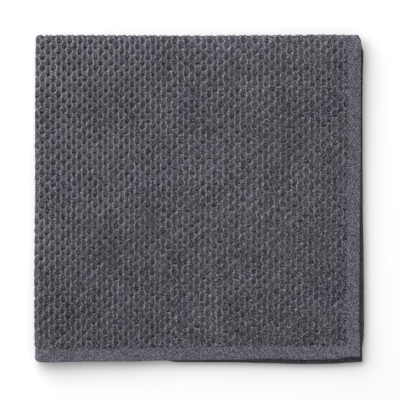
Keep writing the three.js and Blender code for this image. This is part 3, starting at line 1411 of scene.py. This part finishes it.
@dataclass
class HemStitching:
    """The row of lock stitches that holds the turned hem down, in millimetres."""

    plan: FoldPlan
    name: str = "hem_stitching"
    stitch_pitch: float = 3.2
    stitch_length: float = 2.5
    thread_width: float = 0.5
    thread_height: float = 0.34
    sunk: float = 0.22
    sides: int = 6
    rings: int = 4
    most_tilt: float = 0.16
    look_ahead: float = 0.5
    seed: int = 23

    def seam(self) -> tuple[np.ndarray, np.ndarray]:
        """The cloth measures of each stitch round the four hems.

        Returns:
            Measures across and along.
        """
        inset = self.plan.hem_width
        length = self.plan.side - 2 * inset
        count = int(length / self.stitch_pitch)
        run = inset + (np.arange(count) + 0.5) * length / count
        low = np.full(count, inset)
        high = np.full(count, self.plan.side - inset)
        across = np.concatenate([low, run, high, run])
        along = np.concatenate([run, low, run, high])
        return across, along

    def build(self) -> bpy.types.Object:
        """Places one point for each stitch, with its run and outward directions.

        Returns:
            The stitching's object, before its stitches are made.
        """
        across, along = self.seam()
        plan = self.plan
        quarter = len(across) // 4
        is_side = (np.arange(len(across)) // quarter) % 2 == 0
        ahead_across = np.where(is_side, across, across + self.look_ahead)
        ahead_along = np.where(is_side, along + self.look_ahead, along)
        middle = plan.place(across, along)
        run = plan.place(ahead_across, ahead_along) - middle
        outward = plan.outward(across, along)
        lift = plan.half_thickness(across, along) - self.sunk
        points = (middle + outward * lift[:, None]) * MM
        stitching = add_piece(self.name, points)
        store_vectors(stitching.data, STITCH_RUN, run)
        store_vectors(stitching.data, OUTWARD, outward)
        log.info("%s: %d stitches", self.name, len(points))
        return stitching

    def stitch_tree(self) -> bpy.types.NodeTree:
        """Builds the node tree that sews a thread lozenge at every point.

        Returns:
            The tree.
        """
        takes = {
            "Seam": "Geometry",
            "Stitch length": "Float",
            "Thread width": "Float",
            "Thread height": "Float",
            "Sides": "Int",
            "Most tilt": "Float",
            "Seed": "Int",
            "Thread finish": "Material",
        }
        tree, given = start_tree("sew_stitches", takes, "Stitches")
        ball = {"Segments": given["Sides"], "Rings": self.rings, "Radius": 0.5}
        lozenge = add_node(tree, "GeometryNodeMeshUVSphere", ball)
        sizes = {0: given["Stitch length"], 1: given["Thread width"], 2: given["Thread height"]}
        size = add_node(tree, "ShaderNodeCombineXYZ", sizes)
        run, outward = (
            add_node(tree, "GeometryNodeInputNamedAttribute", {"Name": name}, data_type="FLOAT_VECTOR")
            for name in (STITCH_RUN, OUTWARD)
        )
        along_seam = add_node(tree, "FunctionNodeAlignRotationToVector", {"Vector": run}, axis="X")
        upright = add_node(
            tree,
            "FunctionNodeAlignRotationToVector",
            {"Rotation": along_seam, "Vector": outward},
            axis="Z",
            pivot_axis="X",
        )
        other_way = {0: given["Most tilt"], 1: -1.0}
        least_tilt = add_node(tree, "ShaderNodeMath", other_way, operation="MULTIPLY")
        draw = {DRAW_LEAST: least_tilt, DRAW_MOST: given["Most tilt"], "Seed": given["Seed"]}
        tilt = add_node(tree, "FunctionNodeRandomValue", draw, data_type="FLOAT").outputs[DRAWN]
        about_up = {"Axis": (0.0, 0.0, 1.0), "Angle": tilt}
        tilted = add_node(tree, "FunctionNodeAxisAngleToRotation", about_up)
        turns = {0: upright, 1: tilted}
        turned = add_node(tree, "FunctionNodeRotateRotation", turns, rotation_space="LOCAL")
        stitch = {"Points": given["Seam"], "Instance": lozenge, "Rotation": turned, "Scale": size}
        sewn = add_node(tree, "GeometryNodeInstanceOnPoints", stitch)
        end_tree(tree, sewn, {given["Thread finish"]: True})
        return tree

    def dress(self, stitching: bpy.types.Object, thread: bpy.types.Material) -> None:
        """Sews the stitches in their thread.

        Args:
            stitching: The stitching's object.
            thread: The finish of the thread.
        """
        given = {
            "Stitch length": self.stitch_length * MM,
            "Thread width": self.thread_width * MM,
            "Thread height": self.thread_height * MM,
            "Sides": self.sides,
            "Most tilt": self.most_tilt,
            "Seed": self.seed,
            "Thread finish": thread,
        }
        shape_piece(stitching, self.stitch_tree(), given)


@dataclass(frozen=True)
class Tufts:
    """Tufts of loose fibre, painted as glints and shade: each lies to the light in its own way, and few of
    them shine.
    """

    size: float
    shadow: float
    gleam: float
    grain: Grain = Grain.ON_CLOTH

    def add(self, tree: bpy.types.NodeTree, place: Link) -> bpy.types.Node:
        """Adds the nodes of the tufts.

        Args:
            tree: The node tree of the finish.
            place: Places in the unit of the tufts' size.

        Returns:
            How much light the tuft at each place gives back: painted shade on most, a painted glint on few.
        """
        size = {"Vector": place, "Scale": 1 / self.size}
        tufts = add_node(tree, "ShaderNodeTexVoronoi", size, voronoi_dimensions=self.grain.value)
        tuft = add_node(tree, "ShaderNodeSeparateColor", {0: tufts.outputs["Color"]})
        shine = add_node(tree, "ShaderNodeMath", {0: tuft, 1: 2.0}, operation="POWER")
        strength = {0: shine, 1: self.gleam, 2: self.shadow}
        return add_node(tree, "ShaderNodeMath", strength, operation="MULTIPLY_ADD")


@dataclass(frozen=True)
class Slubs:
    """The thick and thin places of spun yarn."""

    size: float
    contrast: float
    detail: float = 3.0
    roughness: float = 0.7

    def add(self, tree: bpy.types.NodeTree, place: Link) -> bpy.types.Node:
        """Adds the nodes of the slubs.

        Args:
            tree: The node tree of the finish.
            place: Places in the unit of the slubs' size.

        Returns:
            How thick the yarn is at each place, about nought.
        """
        size = {"Vector": place, "Scale": 1 / self.size}
        fineness = {"Detail": self.detail, "Roughness": self.roughness}
        slubs = add_node(tree, "ShaderNodeTexNoise", size | fineness)
        return add_node(tree, "ShaderNodeMath", {0: slubs, 1: 0.5}, operation="SUBTRACT")


@dataclass(frozen=True)
class CloudsAndPaintedShade:
    """Slow unevenness over the whole cloth, its raised yarns included: random clouds of tone, and painted
    shade that darkens the cloth towards the bottom of the page and in a band below the top fold.
    """

    cloud_size: float = 25 * MM
    cloud_contrast: float = 0.8
    painted_shade_contrast: float = 0.9
    page_bottom: float = -126 * MM
    page_height: float = 252 * MM

    def add(self, tree: bpy.types.NodeTree) -> tuple[bpy.types.Node, bpy.types.NodeSocket]:
        """Adds the nodes that paint shade on a finish by its place on the folded towel, over random clouds
        of tone.

        Args:
            tree: The node tree of the finish.

        Returns:
            How much lighter or darker the place is, and the cast of its colour.
        """
        place = add_node(tree, "ShaderNodeTexCoord").outputs["Object"]
        size = {"Vector": place, "Scale": 1 / self.cloud_size, "Detail": 1.0, "Roughness": 0.5}
        cloudy = add_node(tree, "ShaderNodeTexNoise", size)
        y = add_node(tree, "ShaderNodeSeparateXYZ", {0: place}).outputs[1]
        page = {0: y, 1: 1 / self.page_height, 2: -self.page_bottom / self.page_height}
        up_the_page = add_node(tree, "ShaderNodeMath", page, operation="MULTIPLY_ADD")
        # Painted shade: darker towards the bottom of the page and in a band below the top fold
        painted_shade = add_node(tree, "ShaderNodeFloatCurve", {"Value": up_the_page}, PAINTED_SHADE_UP_PAGE)
        middle = (self.painted_shade_contrast + self.cloud_contrast) / 2
        strength = {0: painted_shade, 1: self.painted_shade_contrast, 2: -middle}
        shade_down_page = add_node(tree, "ShaderNodeMath", strength, operation="MULTIPLY_ADD")
        clouds = {0: cloudy, 1: self.cloud_contrast, 2: shade_down_page}
        return add_node(tree, "ShaderNodeMath", clouds, operation="MULTIPLY_ADD"), cloudy.outputs["Color"]


@dataclass(frozen=True, kw_only=True)
class CottonFinish:
    """Cotton's own surface: matte, with a faint sheen where loose fibre stands off it."""

    name: str
    roughness: float
    sheen: float = 0.0
    sheen_roughness: float = 0.5
    specular: float = 0.25
    ior: float = 1.5
    darkest: float = 0.08

    def start(self) -> tuple[bpy.types.Material, bpy.types.NodeTree]:
        """Starts the finish.

        Returns:
            The material, and its node tree, still empty.
        """
        material = bpy.data.materials.new(self.name)
        material.use_nodes = True
        material.node_tree.nodes.clear()
        return material, material.node_tree

    def shade(self, tree: bpy.types.NodeTree, colour: Link, light: Link) -> bpy.types.Node:
        """Lightens or darkens a colour, and leaves some light in the darkest places.

        Args:
            tree: The node tree of the finish.
            colour: The colour in even light.
            light: How light each place is.

        Returns:
            The shaded colour.
        """
        held = add_node(tree, "ShaderNodeMath", {0: light, 1: self.darkest}, operation="MAXIMUM")
        return add_node(tree, "ShaderNodeVectorMath", {0: colour, "Scale": held}, operation="SCALE")

    def end(self, tree: bpy.types.NodeTree, colour: Link, bump: Link | None = None) -> None:
        """Ends the finish with its surface.

        Args:
            tree: The node tree of the finish.
            colour: The colour of each place.
            bump: The way each place faces, where the finish has a relief of its own.
        """
        sockets = {
            "Base Color": colour,
            "Roughness": self.roughness,
            "IOR": self.ior,
            "Specular IOR Level": self.specular,
            "Sheen Weight": self.sheen,
            "Sheen Roughness": self.sheen_roughness,
        }
        if bump is not None:
            sockets["Normal"] = bump
        surface = add_node(tree, "ShaderNodeBsdfPrincipled", sockets)
        add_node(tree, "ShaderNodeOutputMaterial", {"Surface": surface})


@dataclass(frozen=True, kw_only=True)
class CottonWithPaintedShade(CottonFinish):
    """Cotton with random clouds of tone, painted shade down the page, and the violet cast of its dye."""

    clouds_and_shade: CloudsAndPaintedShade = CloudsAndPaintedShade()
    violet: tuple[float, float, float] = (0.003, 0.0, 0.018)

    def shade_with_clouds_and_painted_shade(self, tree: bpy.types.NodeTree, colour: Link, light: Link) -> bpy.types.Node:
        """Shades a colour by its own light, by random clouds of tone and by the painted shade down the page.

        Args:
            tree: The node tree of the finish.
            colour: The colour in even light.
            light: How light each place is by itself.

        Returns:
            The shaded colour.
        """
        clouds_and_shade, cast = self.clouds_and_shade.add(tree)
        clouded_and_shaded = add_node(tree, "ShaderNodeMath", {0: light, 1: clouds_and_shade}, operation="ADD")
        shaded = self.shade(tree, colour, clouded_and_shaded)
        tint = {0: cast, 1: self.violet, 2: shaded}
        return add_node(tree, "ShaderNodeVectorMath", tint, operation="MULTIPLY_ADD")


@dataclass(frozen=True, kw_only=True)
class HoneycombCotton(CottonWithPaintedShade):
    """Piece-dyed cotton in a honeycomb weave: matte, soft, with pits in painted shade and ridge crests in a
    painted highlight.

    The dye takes evenly, so what the eye sees is the relief, and its light and shade are
    painted into the colour as well: a painted highlight on the ridge crests, a mid tone on the
    half-lit bridges of weft across each column and painted shade in the pits. Short loose fibre
    gives a faint sheen at the turns, and every tuft of it is painted lighter or darker as it lies
    to the light.
    """

    name: str = "honeycomb_cotton"
    roughness: float = 0.93
    sheen: float = 0.22
    # Painted light: the ridge colour is a painted highlight on the crests, the pit colour is painted shade,
    # and the bridge colour is the cloth's mid tone
    ridge: str = "66666a"
    bridge: str = "535358"
    painted_pit_shade: str = "1b1b22"
    tufts: Tufts = Tufts(0.68, -0.3, 3.9)
    slubs: Slubs = Slubs(1.1, 0.5)
    weft_bars: float = 6.0
    rung_contrast: float = 0.12
    rung_bump: float = 0.2
    painted_pit_shade_power: float = 2.3
    bump_distance: float = 1.5 * MM

    def make(self, weave: HoneycombWeave) -> bpy.types.Material:
        """Makes the finish.

        Args:
            weave: The weave's sizes, which scale the yarns.

        Returns:
            The material.
        """
        material, tree = self.start()
        cells = add_node(tree, "ShaderNodeUVMap", uv_map=CELL_MAP)
        column, row, _ = add_node(tree, "ShaderNodeSeparateXYZ", {0: cells}).outputs
        place = add_node(tree, "ShaderNodeAttribute", attribute_name=CELL_PLACE)
        raised = add_node(tree, "ShaderNodeSeparateXYZ", {0: place.outputs["Vector"]}).outputs[2]
        found = read_cell(tree, column, row, raised)

        # Weft yarns cross each column like the rungs of a ladder
        per_repeat = 2 * math.pi * self.weft_bars
        turns = add_node(tree, "ShaderNodeMath", {0: row, 1: per_repeat}, operation="MULTIPLY")
        bars = add_node(tree, "ShaderNodeMath", {0: turns}, operation="SINE")
        rungs = add_node(tree, "ShaderNodeMath", {0: bars, 1: found.valley}, operation="MULTIPLY")

        # Tufts of fibre and slubs of yarn have their own sizes in millimetres
        scale = ((weave.wide_pitch + weave.narrow_pitch) / 2, weave.repeat, 1.0)
        millimetres = add_node(tree, "ShaderNodeMapping", {"Vector": cells, "Scale": scale})
        tuft_light = self.tufts.add(tree, millimetres)
        slub = self.slubs.add(tree, millimetres)

        # Painted highlight: only the crests of the ridges catch the full light, so they are painted lighter
        off_valley = {0: 1.0, 1: found.valley}
        crest = add_node(tree, "ShaderNodeMath", off_valley, operation="SUBTRACT", use_clamp=True)
        painted_crest_highlight = add_node(tree, "ShaderNodeMath", {0: crest, 1: found.fullness}, operation="MULTIPLY")
        crest_highlight_mix = {MIX_SHARE: painted_crest_highlight, MIX_FIRST: linear(self.bridge), MIX_SECOND: linear(self.ridge)}
        lit = add_node(tree, "ShaderNodeMix", crest_highlight_mix, data_type="RGBA").outputs[MIXED]
        # Painted shade: the deep part of each cell is painted dark
        deep = add_node(tree, "ShaderNodeMath", {0: found.depth, 1: self.painted_pit_shade_power}, operation="POWER")
        colours = {MIX_SHARE: deep, MIX_FIRST: lit, MIX_SECOND: linear(self.painted_pit_shade)}
        colour = add_node(tree, "ShaderNodeMix", colours, data_type="RGBA").outputs[MIXED]

        slub_light = {0: slub, 1: self.slubs.contrast, 2: tuft_light}
        speckle = add_node(tree, "ShaderNodeMath", slub_light, operation="MULTIPLY_ADD")
        rung_light = {0: rungs, 1: self.rung_contrast, 2: speckle}
        light = add_node(tree, "ShaderNodeMath", rung_light, operation="MULTIPLY_ADD")

        yarns = {0: rungs, 1: self.rung_bump, 2: slub}
        yarn_height = add_node(tree, "ShaderNodeMath", yarns, operation="MULTIPLY_ADD")
        height = add_node(tree, "ShaderNodeMath", {0: yarn_height, 1: found.depth}, operation="SUBTRACT")
        relief = {"Height": height, "Strength": 1.0, "Distance": self.bump_distance}
        self.end(tree, self.shade_with_clouds_and_painted_shade(tree, colour, light), add_node(tree, "ShaderNodeBump", relief))
        return material


@dataclass(frozen=True, kw_only=True)
class YarnCotton(CottonWithPaintedShade):
    """One loosely spun cotton yarn of the same dye: it catches the light along its top."""

    colour: str
    roughness: float = 0.93
    sheen: float = 0.25
    painted_sunk_shade_colour: str = "444448"
    tufts: Tufts = Tufts(0.6 * MM, 0.25, 2.25, Grain.IN_SPACE)
    slubs: Slubs = Slubs(1.3 * MM, 0.3, 2.0)

    def make(self) -> bpy.types.Material:
        """Makes the finish.

        Returns:
            The material.
        """
        material, tree = self.start()
        place = add_node(tree, "ShaderNodeTexCoord").outputs["Object"]
        full = add_node(tree, "ShaderNodeAttribute", attribute_name=FULLNESS).outputs["Fac"]
        # Painted shade: yarn that sinks into slack cloth is painted darker than yarn that stands full
        colours = {MIX_SHARE: full, MIX_FIRST: linear(self.painted_sunk_shade_colour), MIX_SECOND: linear(self.colour)}
        colour = add_node(tree, "ShaderNodeMix", colours, data_type="RGBA").outputs[MIXED]
        tuft_light = self.tufts.add(tree, place)
        slub = self.slubs.add(tree, place)
        slub_light = {0: slub, 1: self.slubs.contrast, 2: tuft_light}
        light = add_node(tree, "ShaderNodeMath", slub_light, operation="MULTIPLY_ADD")
        self.end(tree, self.shade_with_clouds_and_painted_shade(tree, colour, light))
        return material


@dataclass(frozen=True, kw_only=True)
class HemCotton(CottonFinish):
    """The same cotton, woven close as a twill and turned double: smoother and a little lighter."""

    name: str = "hem_twill_cotton"
    roughness: float = 0.9
    sheen: float = 0.2
    colour: str = "585761"
    painted_under_shade_colour: str = "37363e"
    tufts: Tufts = Tufts(0.6, 0.4, 1.8)
    slubs: Slubs = Slubs(0.9, 0.4)
    twill_pitch: float = 2.0
    twill_angle: float = 60.0
    rib_waver: float = 3.0
    rib_contrast: float = 0.22
    rib_bump: float = 0.4
    bump_strength: float = 0.6
    bump_distance: float = 0.3 * MM
    repeats_up: float = 31.0
    columns_across: float = 58.0

    def make(self, weave: HoneycombWeave) -> bpy.types.Material:
        """Makes the finish.

        Args:
            weave: The weave's sizes, which scale the yarns.

        Returns:
            The material.
        """
        material, tree = self.start()
        cells = add_node(tree, "ShaderNodeUVMap", uv_map=CELL_MAP)
        scale = (weave.wide_pitch, weave.repeat, 1.0)
        millimetres = add_node(tree, "ShaderNodeMapping", {"Vector": cells, "Scale": scale})
        across, up, _ = add_node(tree, "ShaderNodeSeparateXYZ", {0: millimetres}).outputs
        tuft_light = self.tufts.add(tree, millimetres)
        slub = self.slubs.add(tree, millimetres)

        # The twill's ribs climb from the lower left to the upper right of the page
        angle = math.radians(self.twill_angle)
        per_across = 2 * math.pi * math.sin(angle) / self.twill_pitch
        per_up = 2 * math.pi * math.cos(angle) / self.twill_pitch
        across_turns = add_node(tree, "ShaderNodeMath", {0: across, 1: per_across}, operation="MULTIPLY")
        up_turns = {0: up, 1: per_up, 2: across_turns}
        turns = add_node(tree, "ShaderNodeMath", up_turns, operation="MULTIPLY_ADD")
        wavering = {0: slub, 1: self.rib_waver, 2: turns}
        wavering_turns = add_node(tree, "ShaderNodeMath", wavering, operation="MULTIPLY_ADD")
        ribs = add_node(tree, "ShaderNodeMath", {0: wavering_turns}, operation="SINE")
        ribbed = {0: ribs, 1: self.rib_contrast, 2: tuft_light}
        rib_light = add_node(tree, "ShaderNodeMath", ribbed, operation="MULTIPLY_ADD")
        slub_light = {0: slub, 1: self.slubs.contrast, 2: rib_light}
        light = add_node(tree, "ShaderNodeMath", slub_light, operation="MULTIPLY_ADD")

        # Painted shade: the hems of the layers beneath the top one show only as narrow strips in its shade,
        # so they are painted darker
        column, row, _ = add_node(tree, "ShaderNodeSeparateXYZ", {0: cells}).outputs
        past_left, past_top = (
            add_node(tree, "ShaderNodeMath", {0: count, 1: limit}, operation="GREATER_THAN")
            for count, limit in ((column, self.columns_across), (row, self.repeats_up))
        )
        in_painted_shade = add_node(tree, "ShaderNodeMath", {0: past_left, 1: past_top}, operation="MAXIMUM")
        colours = {MIX_SHARE: in_painted_shade, MIX_FIRST: linear(self.colour), MIX_SECOND: linear(self.painted_under_shade_colour)}
        colour = add_node(tree, "ShaderNodeMix", colours, data_type="RGBA").outputs[MIXED]

        bumps = {0: ribs, 1: self.rib_bump, 2: slub}
        height = add_node(tree, "ShaderNodeMath", bumps, operation="MULTIPLY_ADD")
        relief = {"Height": height, "Strength": self.bump_strength, "Distance": self.bump_distance}
        self.end(tree, self.shade(tree, colour, light), add_node(tree, "ShaderNodeBump", relief))
        return material


@dataclass(frozen=True, kw_only=True)
class StitchThread(CottonFinish):
    """Spun thread dyed to match: a touch smoother and darker than the cloth it sinks into."""

    name: str = "matching_thread"
    roughness: float = 0.7
    specular: float = 0.3
    colour: str = "4c4b53"
    twist_pitch: float = 0.6 * MM
    twist_contrast: float = 0.6
    twist_shadow: float = 0.7

    def make(self) -> bpy.types.Material:
        """Makes the finish.

        Returns:
            The material.
        """
        material, tree = self.start()
        place = add_node(tree, "ShaderNodeTexCoord").outputs["Object"]
        pitch = {"Vector": place, "Scale": 1 / self.twist_pitch, "Detail": 1.0}
        twist = add_node(tree, "ShaderNodeTexNoise", pitch)
        strength = {0: twist, 1: self.twist_contrast, 2: self.twist_shadow}
        light = add_node(tree, "ShaderNodeMath", strength, operation="MULTIPLY_ADD")
        self.end(tree, self.shade(tree, linear(self.colour)[:3], light))
        return material


@dataclass
class Studio:
    """A plain pale floor, soft light from the upper left and a camera straight above."""

    pixel: float = 0.765 * MM
    picture_pixels: int = 400
    middle_pixel: tuple[float, float] = (199.65, 199.3)
    lens: float = 300.0
    sensor: float = 36.0
    aim_height: float = 10.0 * MM
    floor_size: float = 6.0
    floor_colour: str = "f7f7f8"
    floor_roughness: float = 0.95
    key_bearing: float = 130.0
    key_height: float = 34.0
    key_distance: float = 2.2
    key_size: float = 3.2
    key_power: float = 80.0
    sky_light: float = 0.58
    view_depth: float = 50.0

    def lay_floor(self) -> bpy.types.Object:
        """Lays the floor.

        Returns:
            The floor's object.
        """
        reach = self.floor_size / 2
        corners = reach * np.array([(-1.0, -1.0, 0.0), (1.0, -1.0, 0.0), (1.0, 1.0, 0.0), (-1.0, 1.0, 0.0)])
        floor = add_piece("floor", corners, faces=[[0, 1, 2, 3]])
        material = bpy.data.materials.new("pale_floor")
        material.use_nodes = True
        surface = material.node_tree.nodes["Principled BSDF"]
        surface.inputs["Base Color"].default_value = linear(self.floor_colour)
        surface.inputs["Roughness"].default_value = self.floor_roughness
        surface.inputs["Specular IOR Level"].default_value = 0.0
        floor.data.materials.append(material)
        return floor

    def light(self) -> None:
        """Hangs the soft key light and sets the even light of the room."""
        bearing = math.radians(self.key_bearing)
        height = math.radians(self.key_height)
        flat = math.cos(height)
        direction = Vector((flat * math.cos(bearing), flat * math.sin(bearing), math.sin(height)))
        lamp = bpy.data.lights.new("soft_key", "AREA")
        lamp.shape = "SQUARE"
        lamp.size = self.key_size
        lamp.energy = self.key_power
        key = bpy.data.objects.new("soft_key", lamp)
        key.location = direction * self.key_distance
        key.rotation_euler = direction.to_track_quat("Z", "Y").to_euler()
        bpy.context.scene.collection.objects.link(key)

        world = bpy.data.worlds.new("even_room")
        world.use_nodes = True
        background = world.node_tree.nodes["Background"]
        background.inputs["Color"].default_value = (1.0, 1.0, 1.0, 1.0)
        background.inputs["Strength"].default_value = self.sky_light
        bpy.context.scene.world = world

    def aim_camera(self) -> bpy.types.Object:
        """Hangs the camera straight above, with the page's top up.

        Returns:
            The camera's object.
        """
        width = self.pixel * self.picture_pixels
        distance = width * self.lens / self.sensor
        half = self.picture_pixels / 2
        lens = bpy.data.cameras.new("above")
        lens.lens = self.lens
        lens.sensor_width = self.sensor
        lens.clip_end = self.view_depth
        camera = bpy.data.objects.new("above", lens)
        camera.location = (
            (half - self.middle_pixel[0]) * self.pixel,
            (self.middle_pixel[1] - half) * self.pixel,
            self.aim_height + distance,
        )
        bpy.context.scene.collection.objects.link(camera)
        bpy.context.scene.camera = camera
        return camera

    def colour_plainly(self) -> None:
        """Shows the scene's colours as they are, without a film look."""
        bpy.context.scene.view_settings.view_transform = "Standard"
        bpy.context.scene.view_settings.look = "None"


def main() -> None:
    """Builds the towel and its stitching, dresses them and sets up the studio."""
    logging.basicConfig(level=logging.INFO, format="%(name)s: %(message)s")
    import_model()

    studio = Studio()
    studio.colour_plainly()
    studio.aim_camera()
    studio.lay_floor()
    studio.light()

    plan = FoldPlan()
    weave = HoneycombWeave()
    cloth = TowelCloth(plan, weave)
    towel = cloth.build()
    cloth.dress(towel, HoneycombCotton().make(weave), HemCotton().make(weave))
    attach(towel, BODY)
    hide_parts(NODE)

    yarn_work = YarnWork(cloth)
    # Painted light and shade: the ridge yarns on top get a lighter colour than the crossing yarns lower in
    # the cells, though both are of one dye
    lit_ridge_finish = YarnCotton(name="ridge_cotton_yarn", colour="6e6d73").make()
    shaded_crossing_finish = YarnCotton(name="crossing_cotton_yarn", colour="59595f").make()
    for name, lines, radius, finish in (
        ("ridge_yarns", yarn_work.ridges(), yarn_work.ridge_radius, lit_ridge_finish),
        ("wall_yarns", yarn_work.walls(), yarn_work.wall_radius, shaded_crossing_finish),
        ("rung_yarns", yarn_work.rung_lines(), yarn_work.rung_radius, shaded_crossing_finish),
    ):
        yarns = yarn_work.build(name, lines)
        yarn_work.dress(yarns, radius, finish)
        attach(yarns, BODY)

    hem = HemStitching(plan)
    stitching = hem.build()
    hem.dress(stitching, StitchThread().make())
    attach(stitching, BODY)


if __name__ == "__main__":
    main()
